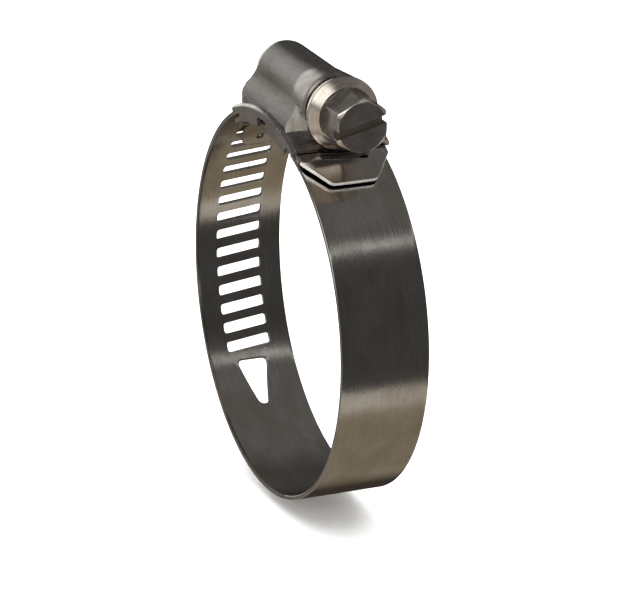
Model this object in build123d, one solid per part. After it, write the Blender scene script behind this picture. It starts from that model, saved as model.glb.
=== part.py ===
from build123d import *
import os
from math import cos, degrees, radians, sin, sqrt

os.makedirs("parts", exist_ok=True)

# All lengths in millimetres. The ring axis is Y and the housing stands on top, at +Z.
# The screw lies along X with its head towards +X.
# Angles run from the top of the ring, positive towards the screw head.

# Band
BAND_W = 14.3
BAND_T = 0.65
SEAT_R = 29.2
PITCH = 3.1

# The tail rides above the head end of the band and the saddle
SADDLE_T = 0.65
RIDE_GAP = 0.12
LIFT = BAND_T + SADDLE_T + RIDE_GAP
TIP_ANGLE = 36.5
TIP_MARGIN = 5.24
TAIL_SLOTS = 15
TIP_CUT_W = 3.5
TIP_CUT_L = 4.7

# Worm slots, one for each turn of thread
SLOT_L = 7.4
SLOT_W = 1.65
SLOT_SLANT = 6.6
SLOTS_PER_LINK = (3, 4, 4)

# Teardrop hole after the last slot
DROP_L = 8.1
DROP_W = 4.9
DROP_TIP_R = 0.9
DROP_CORNER_R = 0.8
DROP_FROM_SLOT = 2.78
DROP_LINK_PITCHES = 4

# Plain part of the band, split into links that flex
LOOP_LINKS = 8
OPEN_LINK = 2
HEAD_ANGLE = 26.0
HEAD_END_ANGLE = -49.0
TONGUE_ANGLE = -26.0
TONGUE_W = 6.2
LINK_GAP = 0.06
OPEN_GAP = 0.43

# Worm screw
WORM_R = 3.85
ROOT_R = 3.05
BITE = 0.55
WORM_TURNS = 5
THREAD_BASE_W = 1.35
THREAD_TIP_W = 0.8
NECK_R = 2.8
COLLAR_R = 4.95
FLANGE_R = 5.75
FLANGE_START = 12.4
FLANGE_EDGE = 12.9
FLANGE_END = 14.3
FLANGE_FACE_R = 4.5
HEX_AF = 7.94
HEX_END = 20.4
HEX_START = 14.0
HEX_CHAMFER = 0.45
DRIVER_SLOT_W = 1.25
DRIVER_SLOT_D = 1.9
DRIVER_SLOT_TURN = 14.0

# Housing
SHEET_T = 0.62
ARCH_R = 4.65
ARCH_RISE = 0.45
BELL_R = 5.15
BELL_BACK = 3.4
FLARE_W = 7.3
FLARE_TOP = 1.0
FLARE_BACK = -12.3
FLARE_FRONT = 5.2
FLARE_CORNER_R = 3.2
FLARE_SET_IN = 2.0
HOUSING_BACK = -12.6
WALL_X = 9.3
MOUTH_X = 10.1
SHOULDER_W = 15.9
HOUSING_ANGLE = 24.0
FOOT_GAP = 0.15
LIP_REACH = 4.7

MID_R = SEAT_R + BAND_T / 2
HEAD_OUT_R = SEAT_R + BAND_T
TAIL_OUT_TOP = LIFT + SEAT_R + BAND_T
SCREW_Z = TAIL_OUT_TOP - BITE + WORM_R
TAIL_CENTRE = (0.0, LIFT)
RING_CENTRE = (0.0, 0.0)


def polar(centre, radius, angle):
    """Point in the XZ plane, as (x, z)."""
    return (centre[0] + radius * sin(radians(angle)), centre[1] + radius * cos(radians(angle)))


def plate(centre, inner, outer, start, end, width, middle=0.0):
    """Curved plate between two radii and two angles."""
    half = (start + end) / 2
    outline = ThreePointArc(
        polar(centre, outer, start), polar(centre, outer, half), polar(centre, outer, end)
    )
    outline += Line(polar(centre, outer, end), polar(centre, inner, end))
    outline += ThreePointArc(
        polar(centre, inner, end), polar(centre, inner, half), polar(centre, inner, start)
    )
    outline += Line(polar(centre, inner, start), polar(centre, outer, start))
    return Pos(0, middle, 0) * extrude(Plane.XZ * make_face(outline), width / 2, both=True)


def surface_plane(centre, radius, angle):
    """Plane on a curved plate: X along the band, Y along the ring axis, Z outward."""
    x, z = polar(centre, radius, angle)
    along = (cos(radians(angle)), 0, -sin(radians(angle)))
    out = (sin(radians(angle)), 0, cos(radians(angle)))
    return Plane(origin=(x, 0, z), x_dir=along, z_dir=out)


# The band's middle line: a tail arc, a joining arc and the hose circle, from the tip round to the head end
tail_end = TIP_MARGIN + PITCH * (TAIL_SLOTS - 0.5)
join_angle = TIP_ANGLE - degrees(tail_end / MID_R)
join_half = 180.0 + join_angle
join_r = MID_R + LIFT / 2 / cos(radians(-join_angle))
join_x = (join_r - MID_R) * sin(radians(-join_angle))
join_z = LIFT - (join_r - MID_R) * cos(radians(-join_angle))
ARCS = (
    (TAIL_CENTRE, MID_R, TIP_ANGLE, join_angle),
    ((join_x, join_z), join_r, join_angle, -join_half),
    (RING_CENTRE, MID_R, -join_half, HEAD_END_ANGLE - 360.0),
)
ARC_STARTS = [0.0]
for arc in ARCS:
    ARC_STARTS.append(ARC_STARTS[-1] + arc[1] * radians(arc[2] - arc[3]))


def locate(s):
    """Arc number and angle at a distance along the band from the tip."""
    number = 0
    while number < 2 and s >= ARC_STARTS[number + 1]:
        number += 1
    arc = ARCS[number]
    return number, arc[2] - degrees((s - ARC_STARTS[number]) / arc[1])


def strip(s0, s1):
    """Plain length of band between two distances from the tip."""
    first, angle = locate(s0)
    last, end_angle = locate(s1)
    body = None
    for number in range(first, last + 1):
        centre, radius, _, arc_end = ARCS[number]
        stop = end_angle if number == last else arc_end
        piece = plate(centre, radius - BAND_T / 2, radius + BAND_T / 2, angle, stop, BAND_W)
        body = piece if body is None else body + piece
        angle = arc_end
    return body


def band_plane(s):
    number, angle = locate(s)
    return surface_plane(ARCS[number][0], ARCS[number][1], angle)


def slot_cut(s):
    """One worm slot, through the band and slanted like the thread."""
    outline = Rot(0, 0, -SLOT_SLANT) * RectangleRounded(SLOT_W, SLOT_L, 0.45)
    return extrude(band_plane(s) * outline, 1.0, both=True)


def link(s0, s1, slots=()):
    body = strip(s0 + LINK_GAP / 2, s1 - LINK_GAP / 2)
    for s in slots:
        body -= slot_cut(s)
    return body


# Tail: the length that runs through the housing
tail = strip(0.0, tail_end - LINK_GAP / 2)
for number in range(TAIL_SLOTS):
    tail -= slot_cut(TIP_MARGIN + PITCH * number)
tip_plane = band_plane(0.0)
for side in (-1, 1):
    corner = Polyline(
        (1.5, side * (BAND_W / 2 - TIP_CUT_W)),
        (0.0, side * (BAND_W / 2 - TIP_CUT_W)),
        (-TIP_CUT_L, side * (BAND_W / 2 + 0.01)),
        (-TIP_CUT_L, side * (BAND_W / 2 + 2.0)),
        (1.5, side * (BAND_W / 2 + 2.0)),
        close=True,
    )
    tail -= extrude(tip_plane * make_face(corner), 3.0, both=True)
export_step(tail, "parts/band_tail.step")

# Slotted links below the housing
bounds = [tail_end]
for number, count in enumerate(SLOTS_PER_LINK, start=1):
    start = bounds[-1]
    places = [start + PITCH * (k + 0.5) for k in range(count)]
    bounds.append(start + PITCH * count)
    export_step(link(start, bounds[-1], places), f"parts/slotted_link_{number}.step")

# Link with the teardrop hole
start = bounds[-1]
bounds.append(start + PITCH * DROP_LINK_PITCHES)
drop_link = link(start, bounds[-1])
drop_start = start - PITCH / 2 + DROP_FROM_SLOT
tip_x = -(DROP_L - DROP_TIP_R)
drop = make_hull(
    [
        *(Pos(-DROP_CORNER_R, DROP_W / 2 - DROP_CORNER_R) * Circle(DROP_CORNER_R)).edges(),
        *(Pos(-DROP_CORNER_R, DROP_CORNER_R - DROP_W / 2) * Circle(DROP_CORNER_R)).edges(),
        *(Pos(tip_x, 0) * Circle(DROP_TIP_R)).edges(),
    ]
)
drop_link -= extrude(band_plane(drop_start + DROP_L / 2) * (Pos(DROP_L / 2, 0) * drop), 2.5, both=True)
export_step(drop_link, "parts/teardrop_link.step")

# Plain links round to the head end
head_start = ARC_STARTS[2] + MID_R * radians(-join_half - (HEAD_ANGLE - 360.0))
loop_start = bounds[-1]
step = (head_start - loop_start) / LOOP_LINKS
for number in range(LOOP_LINKS):
    s0 = loop_start + step * number + LINK_GAP / 2
    s1 = loop_start + step * (number + 1) - LINK_GAP / 2
    if number + 1 == OPEN_LINK:
        s1 -= OPEN_GAP / 2
    if number == OPEN_LINK:
        s0 += OPEN_GAP / 2
    export_step(strip(s0, s1), f"parts/plain_link_{number + 1}.step")

# Head end of the band, narrowed where the housing's lips come round its edges, and ending in a tongue
head = plate(
    RING_CENTRE, SEAT_R, HEAD_OUT_R, TONGUE_ANGLE, HEAD_ANGLE - degrees(LINK_GAP / 2 / MID_R), BAND_W
)
TABS = ((-17.5, -3.5), (3.5, 17.5))
for tab_start, tab_end in TABS:
    for side in (-1, 1):
        head -= plate(
            RING_CENTRE, SEAT_R - 1, HEAD_OUT_R + 1, tab_start - 1.2, tab_end + 1.2,
            BAND_W / 2, side * (LIP_REACH - 0.2 + BAND_W / 4),
        )
tongue = plate(RING_CENTRE, SEAT_R, HEAD_OUT_R, HEAD_END_ANGLE, TONGUE_ANGLE, TONGUE_W)
tongue = fillet(tongue.edges().filter_by(lambda e: e.length < BAND_T + 0.05).group_by(Axis.X)[0], 2.9)
hole = surface_plane(RING_CENTRE, MID_R, HEAD_END_ANGLE + 5.5) * SlotOverall(1.9, 1.2)
tongue -= extrude(hole, 1.5, both=True)
window = surface_plane(RING_CENTRE, MID_R, TONGUE_ANGLE - 6.5) * SlotOverall(4.2, 1.5)
tongue -= extrude(window, 1.5, both=True)
head = head + tongue
export_step(head, "parts/band_head.step")

# Saddle plate between the head end and the tail
saddle = plate(
    RING_CENTRE, HEAD_OUT_R, HEAD_OUT_R + 2, -HOUSING_ANGLE, HOUSING_ANGLE, BAND_W - 0.1
)
saddle -= plate(TAIL_CENTRE, SEAT_R - RIDE_GAP, SEAT_R + 5, -60, 60, 40)
saddle = fillet(saddle.edges().filter_by(lambda e: e.length < SADDLE_T + 0.05), 1.5)
export_step(saddle, "parts/saddle.step")

# Housing: arch over the worm, flared sides, shoulders over the tail, feet round the band's edges
SHOULDER_IN = SEAT_R + BAND_T + FOOT_GAP
SHOULDER_OUT = SHOULDER_IN + SHEET_T
ARCH_Z = SCREW_Z + ARCH_RISE
cross = Plane(origin=(0, 0, 0), x_dir=(0, 1, 0), z_dir=(1, 0, 0))


def round_cone(x0, radius0, x1, radius1):
    """Cone about the screw's axis."""
    ends = [(x0, radius0), (x1, radius1)]
    return loft([Pos(x, 0, SCREW_Z) * (cross * Circle(radius)) for x, radius in ends])


def arch_block(radius, back, front, round_r):
    """Half-round tunnel block with a rounded back end."""
    face = Pos(0, ARCH_Z) * Circle(radius) + Pos(0, ARCH_Z - 4.5) * Rectangle(2 * radius, 9.0)
    block = Pos(back, 0, 0) * extrude(cross * face, front - back)
    edges = block.edges().filter_by_position(Axis.X, back - 0.1, back + 0.1)
    edges = edges.filter_by_position(Axis.Z, ARCH_Z - 4.6, ARCH_Z + 6)
    return fillet(edges, round_r)


def flare_block(inset, back, front):
    """Both flared sides, leaning in at both ends and rounded in plan."""
    top_z = ARCH_Z + FLARE_TOP
    half_top = sqrt(ARCH_R**2 - FLARE_TOP**2) - inset
    half_foot = FLARE_W - inset
    foot_z = TAIL_OUT_TOP + 0.7 - inset
    outline = Line((0, top_z - inset), (half_top, top_z - inset))
    outline += ThreePointArc(
        (half_top, top_z - inset), (half_top + 0.75, ARCH_Z - 1.4 - inset), (half_foot, foot_z)
    )
    outline += Polyline((half_foot, foot_z), (half_foot, foot_z - 6), (0, foot_z - 6), (0, top_z - inset))
    half = make_face(outline)
    block = Pos(back, 0, 0) * extrude(cross * half, front - back)
    block += mirror(block, Plane.XZ)
    lean = Plane(origin=(front - 4.2 - inset, 0, top_z), x_dir=(0, 1, 0), z_dir=(0.86, 0, 0.51))
    block -= extrude(lean * Rectangle(40, 40), 20)
    lean = Plane(origin=(back + FLARE_SET_IN, 0, top_z - inset), x_dir=(0, 1, 0), z_dir=(-0.88, 0, 0.47))
    block -= extrude(lean * Rectangle(40, 40), 20)
    plan = RectangleRounded(40, 2 * half_foot, FLARE_CORNER_R - inset)
    return block & Pos(back + 20, 0, 0) * extrude(plan, 60)


arch = arch_block(ARCH_R, HOUSING_BACK, MOUTH_X, 2.9)
flare = flare_block(0, FLARE_BACK, FLARE_FRONT + 4.0)
bell = loft(
    [
        Pos(BELL_BACK, 0, ARCH_Z) * (cross * Circle(ARCH_R - 0.02)),
        Pos(MOUTH_X, 0, ARCH_Z) * (cross * Circle(BELL_R)),
    ]
)
shoulders = plate(
    TAIL_CENTRE, SEAT_R - LIFT - 0.2, SHOULDER_OUT, -HOUSING_ANGLE, HOUSING_ANGLE, SHOULDER_W
)
long_edges = shoulders.edges().filter_by(GeomType.CIRCLE).filter_by(lambda e: e.radius > SHOULDER_OUT - 0.1)
shoulders = fillet(long_edges, 0.6)
under = plate(RING_CENTRE, 5.0, SEAT_R, -60, 60, 40)
passage = plate(TAIL_CENTRE, SEAT_R - 3.0, SHOULDER_IN, -60, 60, BAND_W + 2 * FOOT_GAP)
passage -= plate(RING_CENTRE, SEAT_R - 3.0, HEAD_OUT_R, -60, 60, 40)
housing = arch + flare + bell + shoulders - under - passage
housing -= arch_block(ARCH_R - SHEET_T, HOUSING_BACK + SHEET_T, WALL_X, 2.3)
housing -= flare_block(SHEET_T, FLARE_BACK + SHEET_T, FLARE_FRONT + 4.0 - SHEET_T)

# Lips under the saddle, only as long as the tabs
housing -= plate(RING_CENTRE, 5.0, HEAD_OUT_R, -60, 60, 2 * LIP_REACH)
gaps = (-60, TABS[0][0]), (TABS[0][1], TABS[1][0]), (TABS[1][1], 60)
for gap_start, gap_end in gaps:
    housing -= plate(RING_CENTRE, 5.0, HEAD_OUT_R + 0.9, gap_start, gap_end, 40)
housing -= Pos(WALL_X - 1, 0, SCREW_Z) * (cross * extrude(Circle(NECK_R + 0.08), 6))
housing -= round_cone(MOUTH_X, COLLAR_R + 0.2, FLANGE_START - 0.2, FLANGE_R + 0.2)
housing -= Pos(FLANGE_START - 0.2, 0, SCREW_Z) * (cross * extrude(Circle(FLANGE_R + 0.2), 4))
export_step(housing, "parts/housing.step")

# Worm screw: threaded core, neck, collar with a coned flange, and slotted hexagon head
tail_slot_angle = TIP_ANGLE - degrees((TIP_MARGIN + PITCH * 4) / MID_R)
thread_x = MID_R * sin(radians(tail_slot_angle)) - PITCH * 3
screw_frame = Plane(origin=(0, 0, SCREW_Z), x_dir=(0, 0, -1), z_dir=(1, 0, 0))


def round_bar(x0, x1, radius):
    return Pos(0, 0, x0) * extrude(Circle(radius), x1 - x0)


sink = 0.25
base = THREAD_BASE_W / 2 + sink * (THREAD_BASE_W - THREAD_TIP_W) / 2 / (WORM_R - ROOT_R)
tooth = Polyline(
    (ROOT_R - sink, -base),
    (WORM_R, -THREAD_TIP_W / 2),
    (WORM_R, THREAD_TIP_W / 2),
    (ROOT_R - sink, base),
    close=True,
)
path = Helix(pitch=PITCH, height=PITCH * WORM_TURNS, radius=ROOT_R)
thread = sweep(Plane.XZ * make_face(tooth), path=path, is_frenet=True)
core = round_bar(-PITCH * 0.45, PITCH * (WORM_TURNS + 0.3), ROOT_R)
worm = Pos(0, 0, thread_x) * (core + thread)
shaft = round_bar(thread_x + PITCH * WORM_TURNS, MOUTH_X + 0.4, NECK_R)
collar = loft([Pos(0, 0, MOUTH_X + 0.15) * Circle(COLLAR_R), Pos(0, 0, FLANGE_START) * Circle(FLANGE_R)])
flange = round_bar(FLANGE_START, FLANGE_EDGE, FLANGE_R)
flange += loft([Pos(0, 0, FLANGE_EDGE) * Circle(FLANGE_R), Pos(0, 0, FLANGE_END) * Circle(FLANGE_FACE_R)])
hexagon = extrude(RegularPolygon(HEX_AF / 2, 6, major_radius=False), HEX_END - HEX_START)
hexagon = Pos(0, 0, HEX_START) * hexagon
crown = Pos(0, 0, HEX_START) * extrude(Circle(HEX_AF / sqrt(3) - 0.1), HEX_END - HEX_START)
crown = chamfer(crown.edges().group_by(Axis.Z)[-1], length=HEX_CHAMFER, length2=HEX_CHAMFER * 1.4)
head_block = hexagon & crown
driver = Rot(0, 0, DRIVER_SLOT_TURN) * Box(DRIVER_SLOT_W, 12, 2 * DRIVER_SLOT_D)
head_block -= Pos(0, 0, HEX_END) * driver
screw = screw_frame * (worm + shaft + collar + flange + head_block)
export_step(screw, "parts/screw.step")
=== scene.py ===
import math

import bmesh
import bpy
from mathutils import Matrix, Vector


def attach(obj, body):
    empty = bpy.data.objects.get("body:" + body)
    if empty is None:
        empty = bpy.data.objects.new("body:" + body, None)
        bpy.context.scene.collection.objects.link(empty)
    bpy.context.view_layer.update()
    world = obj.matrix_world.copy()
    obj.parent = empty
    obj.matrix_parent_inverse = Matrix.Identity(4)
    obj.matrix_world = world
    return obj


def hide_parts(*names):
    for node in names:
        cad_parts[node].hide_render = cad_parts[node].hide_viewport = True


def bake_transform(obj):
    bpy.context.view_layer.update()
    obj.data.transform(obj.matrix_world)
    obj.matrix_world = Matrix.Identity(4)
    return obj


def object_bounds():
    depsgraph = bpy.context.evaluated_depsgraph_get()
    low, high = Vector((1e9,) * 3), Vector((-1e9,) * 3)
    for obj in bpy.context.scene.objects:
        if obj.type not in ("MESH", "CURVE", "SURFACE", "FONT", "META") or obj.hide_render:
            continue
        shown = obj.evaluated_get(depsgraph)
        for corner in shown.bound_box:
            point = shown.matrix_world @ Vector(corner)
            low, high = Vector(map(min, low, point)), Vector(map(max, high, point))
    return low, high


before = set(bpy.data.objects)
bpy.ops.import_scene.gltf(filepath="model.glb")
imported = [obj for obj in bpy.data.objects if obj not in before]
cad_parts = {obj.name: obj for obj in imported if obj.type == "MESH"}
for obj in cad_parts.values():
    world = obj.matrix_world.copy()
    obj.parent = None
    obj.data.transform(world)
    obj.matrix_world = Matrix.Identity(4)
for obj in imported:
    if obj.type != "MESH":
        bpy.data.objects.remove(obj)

CAD_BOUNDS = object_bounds()
MM = 0.001

# ---------------------------------------------------------------- band layout, in millimetres
WIDTH = 14.3
THICK = 0.65
SEAT_R = 29.2
MID_R = SEAT_R + THICK / 2
PITCH = 3.1
LIFT = 1.42
TIP_ANGLE = 36.5
TIP_MARGIN = 5.24
TIP_CUT_W = 3.5
TIP_CUT_L = 4.7
TIP_END_R = 0.5
TAIL_SLOTS = 15
LINK_SLOTS = (3, 4, 4)
DROP_PITCHES = 4
LOOP_LINKS = 8
OPEN_LINK = 2
OPEN_HALF_GAP = 0.245
HEAD_ANGLE = 26.0
SLOT_L = 7.4
SLOT_W = 1.65
SLOT_R = 0.45
SLANT = math.tan(math.radians(6.6))
DROP_L = 8.1
DROP_W = 4.9
DROP_TIP_R = 0.9
DROP_CORNER_R = 0.8
DROP_FROM_SLOT = 2.78
HALF = WIDTH / 2

tail_end = TIP_MARGIN + PITCH * (TAIL_SLOTS - 0.5)
join = TIP_ANGLE - math.degrees(tail_end / MID_R)
join_half = 180.0 + join
join_r = MID_R + LIFT / 2 / math.cos(math.radians(join))
join_x = (join_r - MID_R) * math.sin(math.radians(-join))
join_z = LIFT - (join_r - MID_R) * math.cos(math.radians(join))
# The tail, the joining arc and the hose circle, as (centre, radius, start, end) with angles from the top
ARCS = (
    ((0.0, LIFT), MID_R, TIP_ANGLE, join),
    ((join_x, join_z), join_r, join, -join_half),
    ((0.0, 0.0), MID_R, -join_half, HEAD_ANGLE - 360.0),
)
STARTS = [0.0]
for _, r, a, b in ARCS:
    STARTS.append(STARTS[-1] + r * math.radians(a - b))
HEAD_S = STARTS[-1]

# The joints, as distances from the tip, and the bodies on each side of them
joints = [tail_end]
for count in LINK_SLOTS + (DROP_PITCHES,):
    joints.append(joints[-1] + PITCH * count)
step = (HEAD_S - joints[-1]) / LOOP_LINKS
joints += [joints[-1] + step * (k + 1) for k in range(LOOP_LINKS)]
BODIES = ["tail", "slotted_link_1", "slotted_link_2", "slotted_link_3", "teardrop_link"]
BODIES += [f"plain_link_{k + 1}" for k in range(LOOP_LINKS)] + ["housing_group"]
OPEN_AT = 4 + OPEN_LINK
OPEN_S = joints[OPEN_AT]
middles = [(joints[k] + joints[k + 1]) / 2 for k in range(len(joints) - 1)]


def edge_at(s):
    """Half-width of the band at s, with the tip's corners cut and rounded."""
    edge = HALF - TIP_CUT_W + TIP_CUT_W * min(1.0, s / TIP_CUT_L)
    if s < TIP_END_R:
        edge -= TIP_END_R - math.sqrt(TIP_END_R**2 - (TIP_END_R - s) ** 2)
    return edge


def on_band(s, y):
    """Point in metres at distance s along the band's middle line and y across it."""
    k = 0
    while k < 2 and s >= STARTS[k + 1]:
        k += 1
    centre, r, start, _ = ARCS[k]
    a = math.radians(start) - (s - STARTS[k]) / r
    return Vector((centre[0] + r * math.sin(a), y, centre[1] + r * math.cos(a))) * MM


# ---------------------------------------------------------------- materials
def add(tree, kind, links=(), **values):
    """A shader node, with its attributes or sockets set and its inputs linked."""
    made = tree.nodes.new(kind)
    for key, value in values.items():
        if hasattr(made, key):
            setattr(made, key, value)
        else:
            made.inputs[key.replace("_", " ")].default_value = value
    for socket, source in links:
        tree.links.new(source, made.inputs[socket])
    return made


def ramp(tree, source, low, high, to_low=0.0, to_high=1.0):
    """The source, stretched from one range to another."""
    made = add(tree, "ShaderNodeMapRange", [("Value", source)])
    for name, value in zip(("From Min", "From Max", "To Min", "To Max"), (low, high, to_low, to_high)):
        made.inputs[name].default_value = value
    return made.outputs["Result"]


def mix(tree, factor, a, b, blend="MIX"):
    """Two colours mixed; each is a socket or three numbers."""
    made = add(tree, "ShaderNodeMix", data_type="RGBA", blend_type=blend)
    tree.links.new(factor, made.inputs[0])
    for socket, value in ((made.inputs[6], a), (made.inputs[7], b)):
        if isinstance(value, tuple):
            socket.default_value = (*value, 1)
        else:
            tree.links.new(value, socket)
    return made.outputs[2]


def steel(name, light, dark, rough, grain, patch, stain, axis, on_strip=False, relief=0.25, metal=1.0):
    """Worked steel: grain streaks, cloudy tarnish, small pits and rubbed bright edges."""
    m = bpy.data.materials.new(name)
    m.use_nodes = True
    t = m.node_tree
    bsdf = t.nodes["Principled BSDF"]
    if on_strip:
        place = add(t, "ShaderNodeAttribute", attribute_name="strip").outputs["Vector"]
    else:
        place = add(t, "ShaderNodeTexCoord").outputs["Object"]
    along = add(t, "ShaderNodeMapping", [("Vector", place)], Scale=grain).outputs["Vector"]
    around = add(t, "ShaderNodeMapping", [("Vector", place)], Scale=patch).outputs["Vector"]
    streak = add(t, "ShaderNodeTexNoise", [("Vector", along)], Scale=1.0, Detail=5.0, Roughness=0.62)
    cloud = add(t, "ShaderNodeTexNoise", [("Vector", around)], Scale=1.0, Detail=4.0, Distortion=0.4)
    pit = add(t, "ShaderNodeTexNoise", [("Vector", around)], Scale=14.0, Detail=2.0)

    streaks = ramp(t, streak.outputs["Fac"], 0.3, 0.7)
    tone = mix(t, streaks, dark, light)
    tarnish = ramp(t, cloud.outputs["Fac"], 0.4, 0.72, 0.0, stain)
    tone = mix(t, tarnish, tone, (0.52, 0.43, 0.33), "MULTIPLY")
    pits = ramp(t, pit.outputs["Fac"], 0.62, 0.75, 0.0, 0.5)
    tone = mix(t, pits, tone, (0.3, 0.26, 0.22), "MULTIPLY")

    rounded = add(t, "ShaderNodeBevel", samples=4, Radius=0.2 * MM)
    geometry = add(t, "ShaderNodeNewGeometry")
    dot = add(
        t, "ShaderNodeVectorMath",
        [(0, rounded.outputs["Normal"]), (1, geometry.outputs["Normal"])], operation="DOT_PRODUCT",
    )
    rubbed = add(
        t, "ShaderNodeMath",
        [(0, ramp(t, dot.outputs["Value"], 0.99, 0.88)), (1, streaks)], operation="MULTIPLY",
    )
    bright = tuple(min(1.0, v * 1.2 + 0.06) for v in light)
    tone = mix(t, rubbed.outputs["Value"], tone, bright)
    t.links.new(tone, bsdf.inputs["Base Color"])

    gloss = add(
        t, "ShaderNodeMath",
        [(0, ramp(t, cloud.outputs["Fac"], 0.3, 0.7, rough * 0.8, rough * 1.3)),
         (1, ramp(t, streak.outputs["Fac"], 0.3, 0.7, -0.03, 0.03))],
        operation="ADD",
    )
    t.links.new(gloss.outputs["Value"], bsdf.inputs["Roughness"])
    bsdf.inputs["Metallic"].default_value = metal
    bsdf.inputs["Anisotropic"].default_value = 0.4
    tangent = add(t, "ShaderNodeTangent", direction_type="RADIAL", axis=axis)
    t.links.new(tangent.outputs["Tangent"], bsdf.inputs["Tangent"])

    height = add(
        t, "ShaderNodeMath",
        [(0, pit.outputs["Fac"]), (2, streak.outputs["Fac"])], operation="MULTIPLY_ADD",
    )
    height.inputs[1].default_value = 0.5
    bump = add(
        t, "ShaderNodeBump", [("Height", height.outputs["Value"])], Strength=relief, Distance=0.04 * MM,
    )
    t.links.new(bump.outputs["Normal"], bsdf.inputs["Normal"])
    return m


BAND_STEEL = steel(
    "rolled_strip", (0.60, 0.585, 0.56), (0.47, 0.455, 0.43), 0.13,
    (0.12, 7.0, 0.0), (0.16, 0.24, 0.0), 0.4, "Y", on_strip=True,
)
CUT_STEEL = steel(
    "sheared_edge", (0.86, 0.83, 0.78), (0.66, 0.63, 0.58), 0.42,
    (1.5, 1.5, 0.0), (0.5, 0.5, 0.0), 0.2, "Y", on_strip=True, metal=0.5,
)
SHEET_STEEL = steel(
    "pressed_sheet", (0.60, 0.59, 0.575), (0.47, 0.46, 0.445), 0.26,
    (260.0, 3200.0, 3200.0), (190.0, 260.0, 260.0), 0.35, "Y",
)
SCREW_STEEL = steel(
    "plated_screw", (0.84, 0.80, 0.76), (0.64, 0.58, 0.54), 0.18,
    (2600.0, 420.0, 420.0), (240.0, 260.0, 260.0), 0.5, "X",
)

# ---------------------------------------------------------------- the band as a continuous strip
CORNER = [math.radians(22.5 * k) for k in range(5)]
HALF_ROWS = [0.0, 1.0, 2.0, 2.7]
HALF_ROWS += [SLOT_L / 2 - SLOT_R + SLOT_R * math.sin(a) for a in CORNER]
HALF_ROWS += [4.2, 5.0, 5.9, 6.6, HALF]
ROWS = [-y for y in reversed(HALF_ROWS[1:])] + HALF_ROWS
DROP_ROW = 2.0  # the row that is drawn out or in to the teardrop's edge
TIP_SLOT_MARGIN = 0.35  # least steel between a slot and the tip's cut corner
TIP_PLAIN = 3.4  # plain steel at the tip, up to the first slot's columns
OVERRUN = 2.0  # strip past a cut, thrown away, so that the shading runs on smoothly
SLEEVE_RECESS = 0.04  # how far the sleeve lies below the strip's faces


def rows_within(limit):
    """Numbers of the gaps between rows that lie inside the limit on both sides of the middle."""
    return {i for i in range(len(ROWS) - 1) if max(abs(ROWS[i]), abs(ROWS[i + 1])) < limit + 1e-6}


def slot_half(y):
    """Half-width of a slot at y, with its rounded corners."""
    into = min(max(abs(y) - (SLOT_L / 2 - SLOT_R), 0.0), SLOT_R)
    return SLOT_W / 2 - SLOT_R + math.sqrt(max(SLOT_R**2 - into**2, 0.0))


def tip_shape(s, y):
    """y drawn in where the tip's corners are cut away."""
    edge = edge_at(s)
    inner = min(SLOT_L / 2, edge - TIP_SLOT_MARGIN)
    size = abs(y)
    if size <= SLOT_L / 2:
        size *= inner / (SLOT_L / 2)
    else:
        size = inner + (size - SLOT_L / 2) / (HALF - SLOT_L / 2) * (edge - inner)
    return math.copysign(size, y)


def drop_half(x):
    """Half-width of the teardrop hole at x from its flat end."""
    low, high = DROP_W / 2 - DROP_CORNER_R, DROP_L - DROP_TIP_R
    run, fall = high - DROP_CORNER_R, low
    lean = math.atan2(fall, run) + math.asin((DROP_CORNER_R - DROP_TIP_R) / math.hypot(run, fall))
    x1 = DROP_CORNER_R + DROP_CORNER_R * math.sin(lean)
    x2 = high + DROP_TIP_R * math.sin(lean)
    if x < x1:
        return low + math.sqrt(max(DROP_CORNER_R**2 - (DROP_CORNER_R - x) ** 2, 0.0))
    if x > x2:
        return math.sqrt(max(DROP_TIP_R**2 - (x - high) ** 2, 0.0))
    y1, y2 = low + DROP_CORNER_R * math.cos(lean), DROP_TIP_R * math.cos(lean)
    return y1 + (y2 - y1) * (x - x1) / (x2 - x1)


def plain_columns(start, stop, size=0.62):
    """Straight columns from start up to, not including, stop."""
    count = max(1, math.ceil((stop - start) / size))
    return [
        ([(start + (stop - start) * k / count, y) for y in ROWS], set())
        for k in range(count)
    ]


def slot_columns(centre, start, stop):
    """Columns round one slot that slants with the thread."""
    lows, highs = [], []
    for y in ROWS:
        middle = centre - SLANT * max(-SLOT_L / 2, min(SLOT_L / 2, y))
        lows.append(middle - slot_half(y))
        highs.append(middle + slot_half(y))
    made = []
    for f in (0.0, 0.4, 0.8):
        made.append(([(start + (low - start) * f, y) for low, y in zip(lows, ROWS)], set()))
    for f in (0.0, 0.25, 0.5, 0.75):
        column = [(low + (high - low) * f, y) for low, high, y in zip(lows, highs, ROWS)]
        made.append((column, rows_within(SLOT_L / 2)))
    for f in (0.0, 0.2, 0.6):
        made.append(([(high + (stop - high) * f, y) for high, y in zip(highs, ROWS)], set()))
    return made


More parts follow.
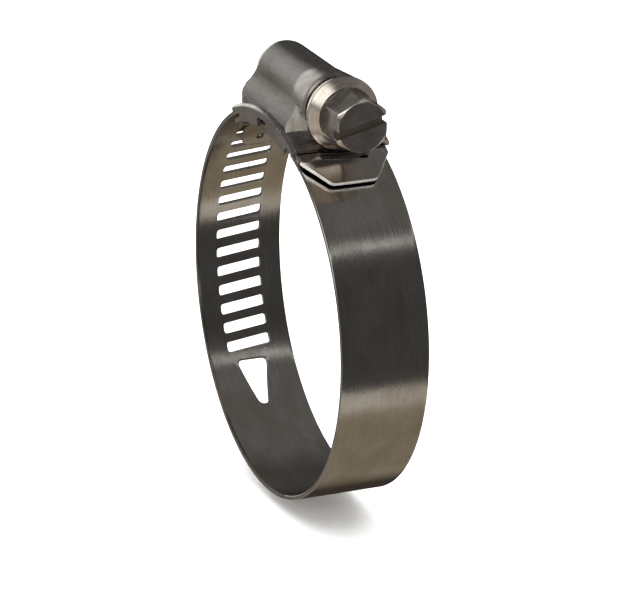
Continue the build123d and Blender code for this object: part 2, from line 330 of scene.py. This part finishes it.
def drop_columns(start, stop, flat, middle):
    """Columns round the teardrop hole whose flat end is at `flat`; one of them stands at `middle`."""
    tip = flat + DROP_L - DROP_TIP_R
    inside = [flat + DROP_CORNER_R * (1 - math.cos(math.radians(15 * k))) for k in range(7)]
    inside += [inside[-1] + (middle - inside[-1]) * (k + 1) / 7 for k in range(7)]
    inside += [middle + (tip - middle) * (k + 1) / 4 for k in range(4)]
    inside += [tip + DROP_TIP_R * math.sin(math.radians(a)) for a in (15, 30, 45, 60, 72, 84)]
    last = inside[-1]
    places = [start, flat - 0.6, flat - 0.2] + inside
    places += [last + further for further in (0.15, 0.6, 1.4, 2.3)]
    made = []
    for s in places:
        if s < flat:
            h = DROP_ROW + (drop_half(0) - DROP_ROW) * (s - start) / (flat - start)
        elif s > last:
            h = drop_half(last - flat) + (DROP_ROW - drop_half(last - flat)) * (s - last) / (stop - last)
        else:
            h = drop_half(s - flat)
        column = []
        for y in ROWS:
            size = abs(y)
            if size <= DROP_ROW:
                size *= h / DROP_ROW
            else:
                size = h + (size - DROP_ROW) / (HALF - DROP_ROW) * (HALF - h)
            column.append((s, math.copysign(size, y)))
        made.append((column, rows_within(DROP_ROW) if flat <= s < last else set()))
    return made


def sheet(name, columns, thick=THICK, edge=0.13):
    """Strip through the columns, given its thickness and rounded edges."""
    bm = bmesh.new()
    layer = bm.verts.layers.float_vector.new("strip")
    centre_row = ROWS.index(0.0)
    grid = []
    for points, _ in columns:
        line = []
        for s, y in points:
            v = bm.verts.new(on_band(s, y))
            v[layer] = Vector((s, y, points[centre_row][0]))
            line.append(v)
        grid.append(line)
    for j in range(len(columns) - 1):
        for i in range(len(ROWS) - 1):
            if i not in columns[j][1]:
                bm.faces.new((grid[j][i], grid[j][i + 1], grid[j + 1][i + 1], grid[j + 1][i]))
    loose = [v for v in bm.verts if not v.link_faces]
    bmesh.ops.delete(bm, geom=loose, context="VERTS")
    mesh = bpy.data.meshes.new(name)
    bm.to_mesh(mesh)
    bm.free()
    obj = bpy.data.objects.new(name, mesh)
    bpy.context.scene.collection.objects.link(obj)
    shell = obj.modifiers.new("thickness", "SOLIDIFY")
    shell.thickness = thick * MM
    shell.offset = 0.0
    if edge:
        round_off = obj.modifiers.new("edges", "BEVEL")
        round_off.width = edge * MM
        round_off.segments = 3
        round_off.limit_method = "ANGLE"
        round_off.angle_limit = math.radians(50)
    graph = bpy.context.evaluated_depsgraph_get()
    done = bpy.data.meshes.new_from_object(
        obj.evaluated_get(graph), preserve_all_data_layers=True, depsgraph=graph,
    )
    obj.modifiers.clear()
    obj.data = done
    for p in done.polygons:
        p.use_smooth = True
    return obj


def split(whole, cuts, names):
    """Cuts a strip across at distances from the tip. The pieces keep the whole strip's normals."""
    mesh = whole.data
    normals = [tuple(n.vector) for n in mesh.corner_normals]
    strip = [tuple(d.vector) for d in mesh.attributes["strip"].data]
    made = []
    for low, high, name in zip(cuts, cuts[1:], names):
        index, faces, loops = {}, [], []
        for p in mesh.polygons:
            where = sum(strip[v][2] for v in p.vertices) / len(p.vertices)
            if low - 1e-5 <= where < high - 1e-5:
                faces.append([index.setdefault(v, len(index)) for v in p.vertices])
                loops += [normals[k] for k in p.loop_indices]
        piece = bpy.data.meshes.new(name)
        piece.from_pydata([mesh.vertices[v].co for v in index], [], faces)
        layer = piece.attributes.new("strip", "FLOAT_VECTOR", "POINT")
        for k, v in enumerate(index):
            layer.data[k].vector = strip[v]
        for p in piece.polygons:
            p.use_smooth = True
        piece.normals_split_custom_set(loops)
        piece.materials.append(BAND_STEEL)
        obj = bpy.data.objects.new(name, piece)
        bpy.context.scene.collection.objects.link(obj)
        made.append(obj)
    bpy.data.objects.remove(whole)
    return made


# Tip, slots, teardrop and the first plain links
slots_end = joints[3]
tip_part = plain_columns(0.0, TIP_END_R, 0.1) + plain_columns(TIP_END_R, TIP_PLAIN)
places = [TIP_MARGIN + PITCH * k for k in range(TAIL_SLOTS + sum(LINK_SLOTS))]
for number, centre in enumerate(places):
    start = TIP_PLAIN if number == 0 else centre - PITCH / 2
    tip_part += slot_columns(centre, start, centre + PITCH / 2)
tail_side = [([(s, tip_shape(s, y)) for s, y in points], holes) for points, holes in tip_part]
tail_side += drop_columns(slots_end, joints[4], slots_end - PITCH / 2 + DROP_FROM_SLOT, middles[3])
tail_stop = OPEN_S - OPEN_HALF_GAP
for start, stop in ((joints[4], middles[4]), (middles[4], middles[5]), (middles[5], tail_stop)):
    tail_side += plain_columns(start, stop)
tail_side += plain_columns(tail_stop, tail_stop + OVERRUN)

tail_cuts = [-1.0, tail_end - 2 * PITCH] + middles[:6] + [tail_stop]
tail_names = ["band_tip"] + [f"band_bend_{k + 1}" for k in range(6)] + ["band_open_end"]
tail_pieces = split(sheet("tail_side", tail_side), tail_cuts, tail_names)

# Plain links back to the head end
head_start = OPEN_S + OPEN_HALF_GAP
head_cuts = [head_start] + middles[6:] + [HEAD_S]
head_side = plain_columns(head_start - OVERRUN, head_start)
for start, stop in zip(head_cuts, head_cuts[1:]):
    head_side += plain_columns(start, stop)
head_side += [([(HEAD_S - 0.02, y) for y in ROWS], set())]
head_names = ["band_meeting_end"] + [f"band_bend_{k + 7}" for k in range(len(head_cuts) - 2)]
head_pieces = split(sheet("head_side", head_side), head_cuts[:-1] + [HEAD_S + 1.0], head_names)

# Thin inner sleeve that keeps the open pivot closed as the two ends slide
narrower = 1 - SLEEVE_RECESS / HALF
sleeve_columns = plain_columns(OPEN_S - 1.3, OPEN_S + 1.1, 0.3)
sleeve_columns = [([(s, y * narrower) for s, y in points], holes) for points, holes in sleeve_columns]
sleeve = sheet("band_sleeve", sleeve_columns, THICK - 2 * SLEEVE_RECESS, 0.0)
sleeve.data.set_sharp_from_angle(angle=math.radians(40))
sleeve.data.materials.append(BAND_STEEL)

# The tip's sheared edges
tip = tail_pieces[0].data
tip.materials.append(CUT_STEEL)
where = tip.attributes["strip"].data
for p in tip.polygons:
    s = sum(where[v].vector[0] for v in p.vertices) / len(p.vertices)
    y = sum(where[v].vector[1] for v in p.vertices) / len(p.vertices)
    out = p.center - Vector((0.0, p.center.y, LIFT * MM))
    steep = abs(p.normal.dot(out.normalized())) < 0.75
    if s < TIP_CUT_L + 0.3 and steep and (s < 0.25 or abs(y) > edge_at(s) - 0.3):
        p.material_index = 1


def bend(obj):
    """Bakes obj's placement into its mesh."""
    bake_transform(obj)


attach(tail_pieces[0], "tail")
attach(tail_pieces[-1], BODIES[OPEN_AT])
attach(head_pieces[0], BODIES[OPEN_AT + 1])
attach(sleeve, BODIES[OPEN_AT])
for k, obj in enumerate(tail_pieces[1:-1]):
    bend(obj)
for k, obj in enumerate(head_pieces[1:]):
    bend(obj)
for obj, name in zip(tail_pieces[:6] + tail_pieces[-1:], ["band_tail"] + BODIES[1:7]):
    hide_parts(name)
for obj, name in zip(head_pieces, BODIES[7:13]):
    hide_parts(name)


# ---------------------------------------------------------------- pressed and turned pieces
def dress(name, material, width, angle=32):
    """Rounds a piece's edges and gives it its finish."""
    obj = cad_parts[name]
    obj.data.materials.clear()
    obj.data.materials.append(material)
    weld = obj.modifiers.new("weld", "WELD")
    weld.merge_threshold = 0.002 * MM
    round_off = obj.modifiers.new("edges", "BEVEL")
    round_off.width = width * MM
    round_off.segments = 3
    round_off.limit_method = "ANGLE"
    round_off.angle_limit = math.radians(angle)
    obj.modifiers.new("normals", "WEIGHTED_NORMAL")
    for p in obj.data.polygons:
        p.use_smooth = True


dress("housing", SHEET_STEEL, 0.14)
dress("saddle", SHEET_STEEL, 0.1)
dress("band_head", BAND_STEEL, 0.1)
dress("screw", SCREW_STEEL, 0.16)

# ---------------------------------------------------------------- studio
scene = bpy.context.scene
scene.view_settings.view_transform = "Standard"

# Camera, with its focal length and the centre of its view given for a frame of 638 by 600
CAM_TURN, CAM_RISE, CAM_ROLL = math.radians(67.23), math.radians(20.0), math.radians(-0.30)
CAM_AWAY = 0.714012
FRAME_W, FRAME_H = 638, 600
FOCAL = 4605.0
CENTRE_ACROSS, CENTRE_DOWN = 308.9, 302.8
SENSOR = 36.0
sideways = math.cos(CAM_RISE)
back = Vector((math.sin(CAM_TURN) * sideways, -math.cos(CAM_TURN) * sideways, math.sin(CAM_RISE)))
level = Vector((math.cos(CAM_TURN), math.sin(CAM_TURN), 0))
upright = back.cross(level)
right = level * math.cos(CAM_ROLL) - upright * math.sin(CAM_ROLL)
up = level * math.sin(CAM_ROLL) + upright * math.cos(CAM_ROLL)
cam = bpy.data.cameras.new("camera")
cam_obj = bpy.data.objects.new("camera", cam)
scene.collection.objects.link(cam_obj)
turn = Matrix((right, up, back)).transposed().to_4x4()
turn.translation = back * CAM_AWAY
cam_obj.matrix_world = turn
cam.lens = FOCAL / FRAME_W * SENSOR
cam.sensor_width = SENSOR
cam.shift_x = (FRAME_W / 2 - CENTRE_ACROSS) / FRAME_W
cam.shift_y = (CENTRE_DOWN - FRAME_H / 2) / FRAME_W
cam.clip_end = 10
scene.camera = cam_obj

# Paper floor that curves up into a wall. It lies a little below the ring, which needs room to open
FLOOR_Z = CAD_BOUNDS[0][2] - 2.1 * MM
FLOOR_R, COVE_R, WALL_TOP = 1.3, 0.6, 2.4
profile = [(0.0, 0.0), (0.7, 0.0), (FLOOR_R, 0.0)]
for a in range(6, 91, 6):
    cove = math.radians(a)
    profile.append((FLOOR_R + COVE_R * math.sin(cove), COVE_R - COVE_R * math.cos(cove)))
profile.append((FLOOR_R + COVE_R, WALL_TOP))
bm = bmesh.new()
outline = [bm.verts.new((x, 0, FLOOR_Z + z)) for x, z in profile]
edges = [bm.edges.new(pair) for pair in zip(outline, outline[1:])]
bmesh.ops.spin(bm, geom=outline + edges, axis=(0, 0, 1), cent=(0, 0, 0), angle=math.tau, steps=64)
bmesh.ops.remove_doubles(bm, verts=bm.verts, dist=1e-5)
backdrop_mesh = bpy.data.meshes.new("backdrop")
bm.to_mesh(backdrop_mesh)
bm.free()
for p in backdrop_mesh.polygons:
    p.use_smooth = True
backdrop = bpy.data.objects.new("backdrop", backdrop_mesh)
scene.collection.objects.link(backdrop)
paper = bpy.data.materials.new("paper")
paper.use_nodes = True
tree = paper.node_tree
spots = add(tree, "ShaderNodeTexNoise", Scale=60.0, Detail=3.0)
tone = mix(tree, spots.outputs["Fac"], (0.93, 0.93, 0.93), (0.95, 0.95, 0.95))
shader = tree.nodes["Principled BSDF"]
tree.links.new(tone, shader.inputs["Base Color"])
shader.inputs["Roughness"].default_value = 0.9
shader.inputs["Specular IOR Level"].default_value = 0.1
backdrop_mesh.materials.append(paper)
backdrop.visible_glossy = False

# One large soft lamp. The steel doesn't reflect it: the world below gives the steel its reflections
lamp = bpy.data.lights.new("overhead", "AREA")
lamp.shape = "DISK"
lamp.size = 3.0
lamp.energy = 66.0
lamp_obj = bpy.data.objects.new("overhead", lamp)
lamp_obj.location = (0, 0, 1.6)
lamp_obj.visible_glossy = False
scene.collection.objects.link(lamp_obj)

world = bpy.data.worlds.new("studio")
scene.world = world
world.use_nodes = True
tree = world.node_tree
direction = add(tree, "ShaderNodeTexCoord").outputs["Generated"]
parts = add(tree, "ShaderNodeSeparateXYZ", [("Vector", direction)])
height = parts.outputs["Z"]
scale = add(tree, "ShaderNodeValToRGB", [("Fac", ramp(tree, height, -1.0, 1.0))])
# Colours by height, from straight down at -1 to straight up at 1
BANDS = (
    (-1.00, (0.30, 0.25, 0.185)),
    (-0.74, (0.34, 0.285, 0.21)),
    (-0.68, (0.62, 0.57, 0.50)),
    (-0.58, (0.58, 0.53, 0.46)),
    (-0.53, (0.075, 0.072, 0.07)),
    (0.55, (0.075, 0.073, 0.071)),
    (0.72, (0.12, 0.117, 0.113)),
    (0.84, (0.17, 0.165, 0.16)),
    (1.00, (0.15, 0.14, 0.13)),
)
stops = scale.color_ramp.elements
while len(stops) < len(BANDS):
    stops.new(0.5)
for stop, (z, colour) in zip(stops, BANDS):
    stop.position = (z + 1) / 2
    stop.color = (*colour, 1)


def panel(aim, cosine, edge, colour, below):
    """Soft round patch of light in one direction, over what is below it."""
    dot = add(tree, "ShaderNodeVectorMath", [(0, direction)], operation="DOT_PRODUCT")
    dot.inputs[1].default_value = Vector(aim).normalized()
    return mix(tree, ramp(tree, dot.outputs["Value"], cosine - edge, cosine + edge), below, colour)


# The narrow highlight across the near side of the band
above = ramp(tree, height, 0.675, 0.70)
below_top = ramp(tree, height, 0.74, 0.715)
ahead = ramp(tree, parts.outputs["X"], 0.1, 0.4)
slit = add(tree, "ShaderNodeMath", [(0, above), (1, below_top)], operation="MULTIPLY").outputs["Value"]
slit = add(tree, "ShaderNodeMath", [(0, slit), (1, ahead)], operation="MULTIPLY").outputs["Value"]
sky = mix(tree, slit, scale.outputs["Color"], (0.9, 0.89, 0.87))
# Patches, as (direction, cosine of the radius, soft edge, colour), and what reflects each to the camera
PANELS = (
    # the housing's side and the hexagon's flats
    ((-0.87, -0.45, -0.08), 0.90, 0.06, (0.23, 0.208, 0.195)),
    # the bell mouth and the collar
    ((-0.97, -0.08, 0.10), 0.955, 0.015, (1.4, 1.39, 1.34)),
    # the inside of the band under the housing, which is dark
    ((-0.80, 0.36, -0.48), 0.88, 0.06, (0.05, 0.038, 0.03)),
    # the flange's cone: its top, its side towards +Y and its side towards -Y
    ((0.42, -0.62, 0.66), 0.90, 0.05, (1.9, 1.88, 1.8)),
    ((0.0, 0.97, 0.24), 0.82, 0.10, (0.24, 0.22, 0.20)),
    ((0.30, -0.88, -0.35), 0.88, 0.06, (0.50, 0.46, 0.40)),
)
for aim, cosine, edge, colour in PANELS:
    sky = panel(aim, cosine, edge, colour, sky)
tree.links.new(sky, tree.nodes["Background"].inputs["Color"])
